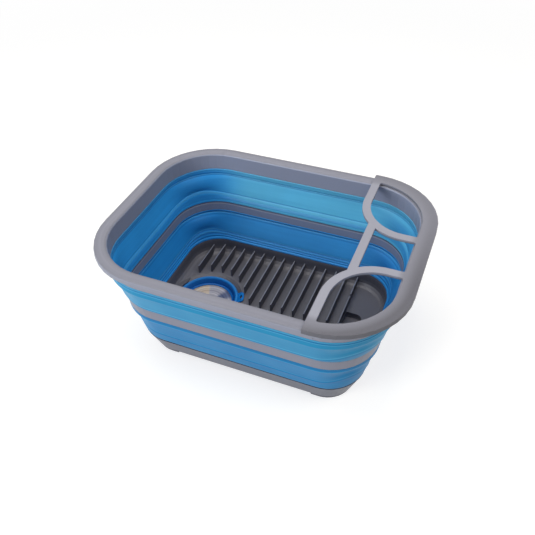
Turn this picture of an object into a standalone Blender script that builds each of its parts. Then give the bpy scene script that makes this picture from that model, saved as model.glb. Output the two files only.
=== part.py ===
# Collapsible camp washbasin: hard rim, middle ring and base joined by two rubber
# walls that fold flat, a clip-on organiser and a drain plug. Metres, +Z up, the
# origin on the ground under the middle of the basin, +X towards the organiser.

import math

import bmesh
import bpy
from mathutils import Matrix, Vector

# Overall sizes
rim_length = 0.370
rim_width = 0.2792
rim_height = 0.1713
rim_corner_radius = 0.0845
corner_segments = 10

# Clearance between pieces that touch, and the overrun of every cutter
seat_gap = 0.0003
overrun = 0.002
weld_distance = 0.000002

# Heights of the feet, the base and the hard bands; the walls share the rest
foot_pad_height = 0.0030
skirt_bottom = 0.0046
floor_top = 0.0200
floor_thickness = 0.0026
base_shoulder = 0.0344
base_lap_height = 0.0075
ring_height = 0.0161
rim_depth = 0.0228
upper_wall_extra = 0.0011

# Laps of the rubber walls on the hard bands, up to the nearest crease
base_lap_rise = 0.0089
ring_low_lap = 0.0056
ring_high_lap = 0.0048
ring_inner_lap = 0.0042
rim_lap = 0.0115
rim_inner_lap = 0.0007

# How far each band lies inside the rim's outer edge
flange_width = 0.0154
rim_skirt_inset = 0.0110
rim_lip_width = 0.0026
rim_lip_depth = 0.0072
flange_thickness = 0.0034
ring_top_inset = 0.0230
ring_bottom_inset = 0.0254
ring_thickness = 0.0026
base_top_inset = 0.0412
base_shoulder_inset = 0.0378
skirt_bottom_inset = 0.0498

# Joints between the hard and the rubber bands
rim_tongue_thickness = 0.0010
rim_tongue_height = 0.0034
ring_lap_thickness = 0.0013
ring_tongue_thickness = 0.0010
ring_tongue_height = 0.0030
base_lap_thickness = 0.0018
base_tongue_thickness = 0.0015

# Rubber walls
upper_panel_thickness = 0.0025
upper_crease_thickness = 0.0014
upper_low_inset = 0.0203
lower_panel_thickness = 0.0025
lower_crease_thickness = 0.0014
lower_high_inset = 0.0258
lower_low_inset = 0.0340
crease_bead = 0.0007
crease_reach = 0.0016

# Grip panels on the long sides of the rim's skirt
grip_end_inset = 0.0800
grip_proud = 0.0006
grip_margin = 0.0015

# Base tray
skirt_thickness = 0.0026
dish_thickness = 0.0026
dish_wall_angle = math.radians(7)
dish_fillet_radius = 0.0120
rib_end_inset = 0.0580
rib_pitch = 0.01555
rib_height = 0.0132
rib_thickness = 0.0020
rib_top_thickness = 0.0014
channel_width = 0.0096
plateau_inset = 0.0903
plateau_height = 0.0012
pocket_length = 0.0241
pocket_width = 0.0796
pocket_depth = 0.0086
pocket_radius = 0.0090
pocket_draft = 0.0008
pocket_wall = 0.0024
pocket_ledge = 0.0004
pocket_segments = 5
notch_y = 0.0570
notch_width = 0.0040
notch_depth = 0.0030

# Drain and plug
drain_inset = 0.0940
drain_radius = 0.0395
drain_turn_share = 0.5
drain_clear_radius = 0.0514
seat_ring_radius = 0.0480
seat_ring_drop = 0.0028
seat_depth = 0.0034
seat_clearance = 0.0004
boss_margin = 0.0014
collar_thickness = 0.0026
collar_depth = 0.0050
plug_flange_radius = 0.0427
plug_flange_thickness = 0.0019
plug_cup_thickness = 0.0022
plug_cup_depth = 0.0094
plug_groove_radius = 0.0382
plug_bead_height = 0.0008
plate_radius = 0.0336
plate_thickness = 0.0012
plate_drop = 0.0092
plate_hub_radius = 0.0040
plate_hub_drop = 0.0006
plate_lip_reach = 0.0007
plate_lip_height = 0.0010
ear_reach = 0.0508
ear_width = 0.0180
ear_corner = 0.0050
ear_thickness = 0.0016
ear_hole_length = 0.0064
ear_hole_width = 0.0030
ear_hole_reach = 0.0468
ear_angle = math.radians(18)
ear_steps = 12
turned_segments = 40

# Feet
foot_tail = 0.0095
foot_width = 0.0100
foot_boss_height = 0.0070
peg_radius = 0.0020
peg_height = 0.0026
peg_clearance = 0.0003
peg_inset = 0.0050
peg_segments = 16

# Organiser
organiser_reach = 0.0892
organiser_overhang = 0.0014
organiser_shift = 0.0028
organiser_thickness = 0.0027
organiser_hole_inset = 0.0134
organiser_skirt = 0.0058
organiser_bar_depth = 0.0034
organiser_bar_width = 0.0097
organiser_hole_corner = 0.0024
organiser_corner_steps = 3
organiser_corner_angle = math.radians(35)
corner_reach_share = 0.45
organiser_curve_inset = 0.0300
organiser_middle_inset = 0.0722
organiser_middle_width = 0.0516
organiser_edge_bevel = 0.0008
curve_segments = 14

# Places worked out from the sizes
base_top = base_shoulder + base_lap_height
walls_height = rim_height - base_top - ring_height - rim_depth
lower_wall_height = (walls_height - upper_wall_extra) / 2
upper_wall_height = lower_wall_height + upper_wall_extra
ring_bottom = base_top + lower_wall_height
ring_top = ring_bottom + ring_height
ring_inner_top = ring_top - ring_inner_lap
rim_skirt_bottom = ring_top + upper_wall_height
rim_inner_bottom = rim_skirt_bottom - rim_inner_lap
rim_top = rim_height
lower_crease_low = base_top + base_lap_rise
lower_crease_high = ring_bottom - ring_low_lap
upper_crease_low = ring_top + ring_high_lap
upper_crease_high = rim_skirt_bottom - rim_lap
floor_bottom = floor_top - floor_thickness
pocket_floor = floor_top + plateau_height - pocket_depth
foot_boss_bottom = foot_pad_height + seat_gap
corner_x = rim_length / 2 - rim_corner_radius
corner_y = rim_width / 2 - rim_corner_radius
drain_x = drain_inset - rim_length / 2
plateau_left = rim_length / 2 - plateau_inset
organiser_left = rim_length / 2 - organiser_reach
organiser_curve_x = rim_length / 2 - organiser_curve_inset
organiser_curve_radius = organiser_curve_x - organiser_left
organiser_curve_y = organiser_middle_width / 2 + organiser_curve_radius
organiser_middle_left = rim_length / 2 - organiser_middle_inset


# Scene and materials


def clear_scene():
    for item in list(bpy.data.objects):
        bpy.data.objects.remove(item, do_unlink=True)


def make_material(name, colour, roughness, metallic=0.0):
    material = bpy.data.materials.new(name)
    material.use_nodes = True
    shader = material.node_tree.nodes["Principled BSDF"]
    shader.inputs["Base Color"].default_value = (*colour, 1.0)
    shader.inputs["Roughness"].default_value = roughness
    shader.inputs["Metallic"].default_value = metallic
    material.diffuse_color = (*colour, 1.0)
    return material


def make_object(name, bm, material, smooth_angle=math.radians(35)):
    bmesh.ops.recalc_face_normals(bm, faces=bm.faces[:])
    mesh = bpy.data.meshes.new(name)
    bm.to_mesh(mesh)
    bm.free()
    item = bpy.data.objects.new(name, mesh)
    bpy.context.scene.collection.objects.link(item)
    if material:
        mesh.materials.append(material)
    mesh.shade_smooth()
    mesh.set_sharp_from_angle(angle=smooth_angle)
    return item


def apply_boolean(item, other, operation):
    # The other solid is used once and then removed
    modifier = item.modifiers.new(operation.lower(), "BOOLEAN")
    modifier.operation = operation
    modifier.solver = "EXACT"
    modifier.object = other
    bpy.context.view_layer.update()
    graph = bpy.context.evaluated_depsgraph_get()
    mesh = bpy.data.meshes.new_from_object(item.evaluated_get(graph))
    item.modifiers.remove(modifier)
    bm = bmesh.new()
    bm.from_mesh(mesh)
    bmesh.ops.remove_doubles(bm, verts=bm.verts[:], dist=weld_distance)
    bmesh.ops.dissolve_degenerate(bm, edges=bm.edges[:], dist=weld_distance)
    bm.to_mesh(mesh)
    bm.free()
    old = item.data
    item.data = mesh
    bpy.data.meshes.remove(old)
    bpy.data.objects.remove(other, do_unlink=True)
    item.data.shade_smooth()
    item.data.set_sharp_from_angle(angle=math.radians(35))


# Outlines that follow the rim's outer edge


def rim_outline(inset):
    # Points of the rounded rectangle that lies inset within the rim's outer edge
    steps = corner_segments
    radius = rim_corner_radius - inset
    points = []
    for quarter, (side_x, side_y) in enumerate(((1, 1), (-1, 1), (-1, -1), (1, -1))):
        for step in range(steps + 1):
            angle = math.pi / 2 * (quarter + step / steps)
            x = side_x * corner_x + radius * math.cos(angle)
            y = side_y * corner_y + radius * math.sin(angle)
            points.append((x, y))
    return points


def add_loop(bm, points, z):
    return [bm.verts.new((x, y, z)) for x, y in points]


def bridge_loops(bm, first, second):
    count = len(first)
    for index in range(count):
        after = (index + 1) % count
        bm.faces.new((first[index], first[after], second[after], second[index]))


def make_band(name, profile, material):
    # A closed ring: each (inset, height) of the profile runs round the rim outline
    bm = bmesh.new()
    loops = [add_loop(bm, rim_outline(inset), z) for inset, z in profile]
    for first, second in zip(loops, loops[1:] + loops[:1]):
        bridge_loops(bm, first, second)
    return make_object(name, bm, material)


def make_stack(name, levels, material=None):
    # A filled solid: loops from the lowest to the highest, closed at both ends
    bm = bmesh.new()
    loops = [add_loop(bm, rim_outline(inset), z) for inset, z in levels]
    for first, second in zip(loops, loops[1:]):
        bridge_loops(bm, first, second)
    bm.faces.new(loops[0])
    bm.faces.new(loops[-1])
    return make_object(name, bm, material)


def make_prism(name, points, low, high, material=None):
    bm = bmesh.new()
    bottom = add_loop(bm, points, low)
    top = add_loop(bm, points, high)
    bridge_loops(bm, bottom, top)
    bm.faces.new(bottom)
    bm.faces.new(top)
    return make_object(name, bm, material)


def make_turned(name, profile, centre_x, material=None, turn_share=0.0):
    # A turned solid: the (radius, height) profile spun round a vertical axis,
    # where a radius of zero closes the solid at its middle
    count = turned_segments
    bm = bmesh.new()
    rings = []
    for radius, z in profile:
        if radius == 0:
            rings.append([bm.verts.new((centre_x, 0, z))])
            continue
        ring = []
        for step in range(count):
            angle = 2 * math.pi * (step + turn_share) / count
            x = centre_x + radius * math.cos(angle)
            ring.append(bm.verts.new((x, radius * math.sin(angle), z)))
        rings.append(ring)
    closed = len(rings[0]) > 1
    pairs = list(zip(rings, rings[1:]))
    if closed:
        pairs.append((rings[-1], rings[0]))
    for first, second in pairs:
        if len(first) == 1:
            for step in range(count):
                bm.faces.new((first[0], second[step], second[(step + 1) % count]))
        elif len(second) == 1:
            for step in range(count):
                bm.faces.new((second[0], first[step], first[(step + 1) % count]))
        else:
            bridge_loops(bm, first, second)
    return make_object(name, bm, material)


def quarter_circle(middle_x, middle_y, radius, start, steps):
    points = []
    for step in range(steps + 1):
        angle = start + math.pi / 2 * step / steps
        x = middle_x + radius * math.cos(angle)
        points.append((x, middle_y + radius * math.sin(angle)))
    return points


# Rim


def make_rim(material):
    lip_inner = rim_lip_width
    underside = rim_top - flange_thickness
    lip_bottom = rim_top - rim_lip_depth
    groove_in = (rim_skirt_inset + flange_width + rim_tongue_thickness) / 2 + seat_gap
    groove_out = groove_in - rim_tongue_thickness - 2 * seat_gap
    groove_top = rim_skirt_bottom + rim_tongue_height
    crown_shares = ((0.04, 0.36), (0.10, 0.14), (0.22, 0.0), (0.55, 0.0))
    crown_shares += ((0.82, 0.22), (0.95, 0.44), (1.0, 0.80))
    profile = [(0, rim_top - rim_lip_depth / 2)]
    for along_share, drop_share in crown_shares:
        drop = drop_share * flange_thickness
        profile.append((along_share * flange_width, rim_top - drop))
    profile.append((flange_width, rim_inner_bottom))
    profile.append((groove_in, rim_inner_bottom))
    profile.append((groove_in, groove_top))
    profile.append((groove_out, groove_top))
    profile.append((groove_out, rim_skirt_bottom))
    profile.append((rim_skirt_inset, rim_skirt_bottom))
    profile.append((rim_skirt_inset, underside - rim_lip_width / 2))
    profile.append((rim_skirt_inset - rim_lip_width / 2, underside))
    profile.append((lip_inner + rim_lip_width / 4, underside))
    profile.append((lip_inner, underside - rim_lip_width / 4))
    profile.append((lip_inner, lip_bottom))
    profile.append((rim_lip_width / 4, lip_bottom))
    profile.append((0, lip_bottom + rim_lip_width / 4))
    rim = make_band("rim_frame", profile, material)
    add_grip_panels(rim)
    return rim


def add_grip_panels(rim):
    # A slightly raised panel along each long side of the skirt
    high = rim_top - flange_thickness - rim_lip_width / 2 - grip_margin
    low = rim_skirt_bottom + grip_margin
    for side in (1, -1):
        outer = side * (rim_width / 2 - rim_skirt_inset + grip_proud)
        inner = side * (rim_width / 2 - rim_skirt_inset - grip_proud)
        reach = rim_length / 2 - grip_end_inset
        ends = reach - grip_margin
        points = [(-ends, outer), (ends, outer), (reach, inner), (-reach, inner)]
        panel = make_prism("grip_panel", points, low, high)
        apply_boolean(rim, panel, "UNION")


# Rubber walls


def make_upper_wall(material):
    # Tongue in the rim's groove, lap, crease, panel, crease, lap over the ring
    tongue_in = (rim_skirt_inset + flange_width + rim_tongue_thickness) / 2
    tongue_out = tongue_in - rim_tongue_thickness
    tongue_top = rim_skirt_bottom + rim_tongue_height - seat_gap
    lap_out = rim_skirt_inset + seat_gap
    lap_in = flange_width - seat_gap
    high = upper_crease_high
    low = upper_crease_low
    low_in = upper_low_inset + upper_panel_thickness
    ring_seat = ring_inset_at(ring_inner_top) + ring_lap_thickness + seat_gap
    ring_seat_top = ring_top_inset + ring_lap_thickness + seat_gap
    profile = [(tongue_out, tongue_top), (tongue_out, rim_skirt_bottom - seat_gap)]
    profile.append((lap_out, rim_skirt_bottom - seat_gap))
    profile.append((lap_out, high + crease_reach))
    profile.append((lap_out - crease_bead, high))
    profile.append((lap_out + crease_bead, high - crease_reach))
    profile.append((upper_low_inset - crease_bead, low + crease_reach))
    profile.append((upper_low_inset - crease_bead, low))
    profile.append((upper_low_inset + crease_bead, low - crease_reach))
    profile.append((ring_top_inset, ring_top + seat_gap))
    profile.append((ring_seat_top, ring_top + seat_gap))
    profile.append((ring_seat, ring_inner_top + seat_gap))
    profile.append((ring_inset_at(ring_inner_top) + ring_thickness, ring_inner_top + seat_gap))
    profile.append((low_in + crease_bead, low - crease_reach))
    profile.append((low_in - (upper_panel_thickness - upper_crease_thickness), low))
    profile.append((low_in - crease_bead, low + crease_reach))
    profile.append((lap_out + crease_bead + upper_panel_thickness, high - crease_reach))
    profile.append((lap_out - crease_bead + upper_crease_thickness, high))
    profile.append((lap_in, high + crease_reach))
    profile.append((lap_in, rim_inner_bottom - seat_gap))
    profile.append((tongue_in, rim_inner_bottom - seat_gap))
    profile.append((tongue_in, tongue_top))
    return make_band("upper_fold_wall", profile, material)


def make_lower_wall(material):
    # Groove over the ring's tongue, crease, panel, crease, lap over the base
    tongue_out, tongue_in = ring_tongue_insets()
    groove_out = tongue_out - seat_gap
    groove_in = tongue_in + seat_gap
    groove_bottom = ring_bottom - ring_tongue_height - seat_gap
    top = ring_bottom - seat_gap
    top_out = ring_bottom_inset - seat_gap
    top_in = ring_bottom_inset + ring_thickness + seat_gap
    high = lower_crease_high
    low = lower_crease_low
    high_in = lower_high_inset + lower_panel_thickness
    low_in = lower_low_inset + lower_panel_thickness
    tongue_low, tongue_high = base_tongue_insets()
    lap_bottom = base_shoulder + seat_gap
    lap_top = base_top + seat_gap
    profile = [(groove_out, groove_bottom), (groove_out, top), (top_out, top)]
    profile.append((lower_high_inset - seat_gap, high + crease_reach))
    profile.append((lower_high_inset - crease_bead, high))
    profile.append((lower_high_inset + crease_bead, high - crease_reach))
    profile.append((lower_low_inset - crease_bead, low + crease_reach))
    profile.append((lower_low_inset - crease_bead, low))
    profile.append((lower_low_inset + crease_bead, low - crease_reach))
    profile.append((tongue_high - seat_gap - base_lap_thickness, lap_top))
    profile.append((base_shoulder_inset, lap_bottom))
    profile.append((tongue_low - seat_gap, lap_bottom))
    profile.append((tongue_high - seat_gap, lap_top))
    profile.append((base_top_inset, lap_top))
    profile.append((low_in + crease_bead, low - crease_reach))
    profile.append((low_in - (lower_panel_thickness - lower_crease_thickness), low))
    profile.append((low_in - crease_bead, low + crease_reach))
    profile.append((high_in + crease_bead, high - crease_reach))
    profile.append((high_in - (lower_panel_thickness - lower_crease_thickness), high))
    profile.append((top_in, high + crease_reach))
    profile.append((top_in, top))
    profile.append((groove_in, top))
    profile.append((groove_in, groove_bottom))
    return make_band("lower_fold_wall", profile, material)


# Middle ring


def ring_inset_at(z):
    share = (ring_top - z) / (ring_top - ring_bottom)
    return ring_top_inset + share * (ring_bottom_inset - ring_top_inset)


def ring_tongue_insets():
    middle = ring_bottom_inset + ring_thickness / 2
    return middle - ring_tongue_thickness / 2, middle + ring_tongue_thickness / 2


def make_ring(material):
    tongue_out, tongue_in = ring_tongue_insets()
    shelf = ring_inset_at(ring_inner_top)
    ledge = ring_inner_top - ring_lap_thickness
    profile = [(ring_top_inset, ring_top)]
    profile.append((ring_bottom_inset, ring_bottom))
    profile.append((tongue_out, ring_bottom))
    profile.append((tongue_out, ring_bottom - ring_tongue_height))
    profile.append((tongue_in, ring_bottom - ring_tongue_height))
    profile.append((tongue_in, ring_bottom))
    profile.append((ring_bottom_inset + ring_thickness, ring_bottom))
    profile.append((ring_inset_at(ledge) + ring_thickness, ledge))
    profile.append((shelf + ring_thickness - seat_gap, ring_inner_top))
    profile.append((shelf + ring_lap_thickness, ring_inner_top))
    profile.append((ring_top_inset + ring_lap_thickness, ring_top))
    return make_band("middle_ring", profile, material)


# Base tray


def skirt_inset_at(z):
    share = (base_shoulder - z) / (base_shoulder - skirt_bottom)
    return base_shoulder_inset + share * (skirt_bottom_inset - base_shoulder_inset)


def base_tongue_insets():
    # Outer insets of the tongue at the shoulder and at its top
    low = base_shoulder_inset + base_lap_thickness + seat_gap
    high = base_top_inset - base_tongue_thickness
    return low, high


def dish_fillet():
    # Inset and height of the fillet's centre, which touches the wall and the floor
    radius = dish_fillet_radius
    centre_z = floor_top + radius
    touch_z = centre_z - radius * math.sin(dish_wall_angle)
    touch_inset = base_top_inset + math.tan(dish_wall_angle) * (base_top - touch_z)
    return touch_inset + radius * math.cos(dish_wall_angle), centre_z


def dish_points(offset):
    # The fillet from the wall down to the floor, offset towards the outside
    centre_inset, centre_z = dish_fillet()
    radius = dish_fillet_radius + offset
    turn_shares = (0.0, 0.25, 0.5, 0.75, 1.0)
    points = []
    for turn_share in turn_shares:
        angle = dish_wall_angle + turn_share * (math.pi / 2 - dish_wall_angle)
        inset = centre_inset - radius * math.cos(angle)
        points.append((inset, centre_z - radius * math.sin(angle)))
    return points


def dish_frame(inset):
    # Height of the dish's inner face at an inset, and its normal as (inset, height)
    centre_inset, centre_z = dish_fillet()
    radius = dish_fillet_radius
    across = (centre_inset - inset) / radius
    if across <= 0:
        return floor_top, Vector((0, 1))
    if across < math.cos(dish_wall_angle):
        rise = math.sqrt(1 - across * across)
        return centre_z - radius * rise, Vector((across, rise))
    z = base_top - (inset - base_top_inset) / math.tan(dish_wall_angle)
    return z, Vector((math.cos(dish_wall_angle), math.sin(dish_wall_angle)))


def make_base(material):
    # Dish above, the skirt carrying on downwards from its outer side
    tongue_low, tongue_high = base_tongue_insets()
    skirt_in = skirt_inset_at(floor_bottom) + skirt_thickness
    bm = bmesh.new()
    top_side = [(base_top_inset, base_top)] + dish_points(0)
    bottom_side = [(tongue_high, base_top), (tongue_low, base_shoulder)]
    bottom_side.append((base_shoulder_inset, base_shoulder))
    bottom_side.append((skirt_bottom_inset, skirt_bottom))
    bottom_side.append((skirt_bottom_inset + skirt_thickness, skirt_bottom))
    bottom_side.append((skirt_in, floor_bottom))
    profile = top_side[::-1] + bottom_side
    loops = [add_loop(bm, rim_outline(inset), z) for inset, z in profile]
    for first, second in zip(loops, loops[1:]):
        bridge_loops(bm, first, second)
    bm.faces.new(loops[0])
    bm.faces.new(loops[-1])
    base = make_object("base_tray", bm, material)
    add_foot_bosses(base)
    add_floor_ribs(base)
    cut_pocket(base)
    cut_drain(base)
    cut_peg_holes(base)
    return base


def make_rib(x):
    # One rib with draft, long enough to run into the dish at both ends
    low = floor_top - floor_thickness / 2
    high = floor_top + rib_height
    half_low = rib_thickness / 2
    half_high = rib_top_thickness / 2
    end = rim_width / 2 - base_top_inset
    bm = bmesh.new()
    across = ((-1, -end), (1, -end), (1, end), (-1, end))
    bottom = add_loop(bm, [(x + side * half_low, y) for side, y in across], low)
    top = add_loop(bm, [(x + side * half_high, y) for side, y in across], high)
    bridge_loops(bm, bottom, top)
    bm.faces.new(bottom)
    bm.faces.new(top)
    return make_object("rib", bm, None)


def make_plateau():
    # The slightly raised right end, from the last rib to the dish
    left = plateau_left
    right = rim_length / 2 - base_top_inset
    end = rim_width / 2 - base_top_inset
    low = floor_top - floor_thickness / 2
    points = [(left, -end), (right, -end), (right, end), (left, end)]
    return make_prism("plateau", points, low, floor_top + plateau_height)


def pocket_outline(left, grow):
    # The pocket's outline, grown on the three sides away from the last rib
    across = plateau_left + pocket_length - pocket_radius
    middle = pocket_width / 2 - pocket_radius
    radius = pocket_radius + grow
    steps = pocket_segments
    points = [(left, -middle - radius)]
    points += quarter_circle(across, -middle, radius, -math.pi / 2, steps)
    points += quarter_circle(across, middle, radius, 0, steps)
    points.append((left, middle + radius))
    return points


def cut_pocket(base):
    # A shell under the floor, hollowed from above with a little draft
    rib_side = plateau_left + rib_thickness / 2 + pocket_ledge
    shell = pocket_outline(rib_side - pocket_wall, pocket_wall)
    high = floor_top - floor_thickness / 2
    shell = make_prism("pocket_shell", shell, pocket_floor - pocket_wall, high)
    apply_boolean(base, shell, "UNION")
    top = floor_top + plateau_height + overrun
    bm = bmesh.new()
    low_loop = add_loop(bm, pocket_outline(rib_side, -pocket_draft), pocket_floor)
    high_loop = add_loop(bm, pocket_outline(rib_side, 0), top)
    bridge_loops(bm, low_loop, high_loop)
    bm.faces.new(low_loop)
    bm.faces.new(high_loop)
    apply_boolean(base, make_object("pocket_cut", bm, None), "DIFFERENCE")


def rib_places():
    # From the plateau's edge towards the left end, as far as the flat floor goes
    x = plateau_left
    while x > rib_end_inset - rim_length / 2:
        yield x
        x -= rib_pitch


def add_floor_ribs(base):
    # Ribs and plateau are trimmed to the dish, then joined to the base
    left = plateau_left
    ribs = make_plateau()
    for x in rib_places():
        apply_boolean(ribs, make_rib(x), "UNION")
    low = floor_top - floor_thickness
    high = floor_top + rib_height + overrun
    half = channel_width / 2
    points = [(-rim_length / 2, -half), (left + rib_thickness, -half)]
    points += [(left + rib_thickness, half), (-rim_length / 2, half)]
    apply_boolean(ribs, make_prism("channel", points, low, high), "DIFFERENCE")
    clear = [(0, low), (drain_clear_radius, low), (drain_clear_radius, high), (0, high)]
    apply_boolean(ribs, make_turned("drain_clear", clear, drain_x), "DIFFERENCE")
    notch_low = floor_top + rib_height - notch_depth
    points = [(left - rib_thickness, notch_y), (left + rib_thickness, notch_y)]
    points += [(left + rib_thickness, notch_y + notch_width)]
    points += [(left - rib_thickness, notch_y + notch_width)]
    apply_boolean(ribs, make_prism("notch", points, notch_low, high), "DIFFERENCE")
    levels = dish_points(dish_thickness / 2)[::-1]
    levels.append((base_top_inset - base_tongue_thickness / 2, base_top))
    apply_boolean(ribs, make_stack("dish_fill", levels), "INTERSECT")
    apply_boolean(base, ribs, "UNION")


def cut_drain(base):
    # Thick disc and collar under the floor, sloping ring, seat and drain hole
    seat = floor_top - seat_depth
    disc_low = seat - floor_thickness
    disc_radius = seat_ring_radius - boss_margin
    low = disc_low - collar_depth
    outer = drain_radius + collar_thickness
    high = floor_top - floor_thickness / 2
    collar = [(0, low), (outer, low), (outer, disc_low), (disc_radius, disc_low)]
    collar += [(disc_radius, high), (0, high)]
    apply_boolean(base, make_turned("collar", collar, drain_x), "UNION")
    ring_low = floor_top - seat_ring_drop
    above = floor_top + overrun
    slope = [(0, ring_low), (plug_flange_radius, ring_low), (seat_ring_radius, floor_top)]
    slope += [(seat_ring_radius, above), (0, above)]
    ring = make_turned("seat_ring", slope, drain_x)
    edge = dish_fillet()[0]
    flat = make_stack("flat_floor", [(edge, disc_low), (edge, above + overrun)])
    apply_boolean(ring, flat, "INTERSECT")
    apply_boolean(base, ring, "DIFFERENCE")
    seat_radius = plug_flange_radius + seat_clearance
    top = floor_top + dish_fillet_radius
    cut = [(0, low - overrun), (drain_radius, low - overrun), (drain_radius, seat)]
    cut += [(seat_radius, seat), (seat_radius, top), (0, top)]
    hole = make_turned("drain_cut", cut, drain_x, turn_share=drain_turn_share)
    apply_boolean(base, hole, "DIFFERENCE")


# Feet


def foot_outline(outer, inner, side_x, side_y):
    # A strip that follows one corner between two insets
    points = []
    for inset, order in ((outer, 1), (inner, -1)):
        radius = rim_corner_radius - inset
        path = [(rim_length / 2 - inset, corner_y - foot_tail)]
        path += quarter_circle(corner_x, corner_y, radius, 0, corner_segments)
        path.append((corner_x - foot_tail, rim_width / 2 - inset))
        points += path[::order]
    return [(side_x * x, side_y * y) for x, y in points]


def peg_places(side_x, side_y):
    inset = skirt_inset_at(0) + peg_inset
    yield side_x * (corner_x - foot_tail / 2), side_y * (rim_width / 2 - inset)
    yield side_x * (rim_length / 2 - inset), side_y * (corner_y - foot_tail / 2)


def make_peg(name, x, y, radius, low, high):
    bm = bmesh.new()
    place = Matrix.Translation((x, y, (low + high) / 2))
    bmesh.ops.create_cone(
        bm,
        cap_ends=True,
        segments=peg_segments,
        radius1=radius,
        radius2=radius,
        depth=high - low,
        matrix=place,
    )
    return make_object(name, bm, None)


def add_foot_bosses(base):
    for side_x in (1, -1):
        for side_y in (1, -1):
            outer = skirt_inset_at(foot_boss_bottom)
            points = foot_outline(outer, skirt_inset_at(0) + foot_width, side_x, side_y)
            high = foot_boss_bottom + foot_boss_height
            boss = make_prism("foot_boss", points, foot_boss_bottom, high)
            apply_boolean(base, boss, "UNION")


def cut_peg_holes(base):
    high = foot_pad_height + peg_height + seat_gap
    for side_x in (1, -1):
        for side_y in (1, -1):
            for x, y in peg_places(side_x, side_y):
                radius = peg_radius + peg_clearance
                hole = make_peg("peg_hole", x, y, radius, foot_boss_bottom - overrun, high)
                apply_boolean(base, hole, "DIFFERENCE")


def make_foot(name, side_x, side_y, material):
    outer = skirt_inset_at(0)
    points = foot_outline(outer, outer + foot_width, side_x, side_y)
    foot = make_prism(name, points, 0, foot_pad_height, material)
    low = foot_pad_height / 2
    high = foot_pad_height + peg_height
    for x, y in peg_places(side_x, side_y):
        apply_boolean(foot, make_peg("peg", x, y, peg_radius, low, high), "UNION")
    return foot


# Drain plug


def make_plug(material):
    # Flange with a raised bead, sloped groove, lip over the plate and a cup
    seat = floor_top - seat_depth + seat_gap
    top = seat + plug_flange_thickness
    bead = top + plug_bead_height
    cup_outer = drain_radius - seat_gap
    cup_bottom = seat - plug_cup_depth
    plate_top = top + plug_bead_height - plate_drop
    plate_low = plate_top - plate_thickness
    pocket = plate_radius + seat_gap
    lip_low = plate_top + seat_gap
    lip = plate_radius - plate_lip_reach
    bead_width = plug_flange_radius - plug_groove_radius
    profile = [(0, cup_bottom), (cup_outer - plug_cup_thickness, cup_bottom)]
    profile.append((cup_outer - seat_gap, cup_bottom + plug_cup_thickness))
    profile.append((cup_outer, seat))
    profile.append((plug_flange_radius, seat))
    profile.append((plug_flange_radius, top - plug_bead_height / 2))
    profile.append((plug_flange_radius - bead_width / 4, bead))
    profile.append((plug_groove_radius + bead_width / 4, bead))
    profile.append((plug_groove_radius, top))
    profile.append((pocket + plug_cup_thickness, lip_low + plate_lip_height))
    profile.append((pocket + plug_cup_thickness / 2, lip_low + plate_lip_height + plug_bead_height))
    profile.append((lip, lip_low + plate_lip_height))
    profile.append((lip, lip_low))
    profile.append((pocket, lip_low))
    profile.append((pocket, plate_low - seat_gap))
    profile.append((0, plate_low - seat_gap))
    plug = make_turned("drain_plug", profile, drain_x, material)
    apply_boolean(plug, make_ear(0), "UNION")
    apply_boolean(plug, make_ear(math.pi), "UNION")
    return plug


def ear_pair(x, y, on_floor):
    # Lower and upper point of the ear, which lies just above the sloping ring round
    # the seat where it's on the flat floor, and otherwise rises with the dish
    side = math.copysign(1, x)
    inset = rim_length / 2 - abs(x)
    z, normal = dish_frame(inset)
    if on_floor:
        slope_width = seat_ring_radius - plug_flange_radius
        slope_share = (seat_ring_radius - math.hypot(x - drain_x, y)) / slope_width
        z -= seat_ring_drop * min(max(slope_share, 0), 1)
    pair = []
    for away in (3 * seat_gap, 3 * seat_gap + ear_thickness):
        there = side * (rim_length / 2 - inset - away * normal.x)
        pair.append((there, y, z + away * normal.y))
    return pair


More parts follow.
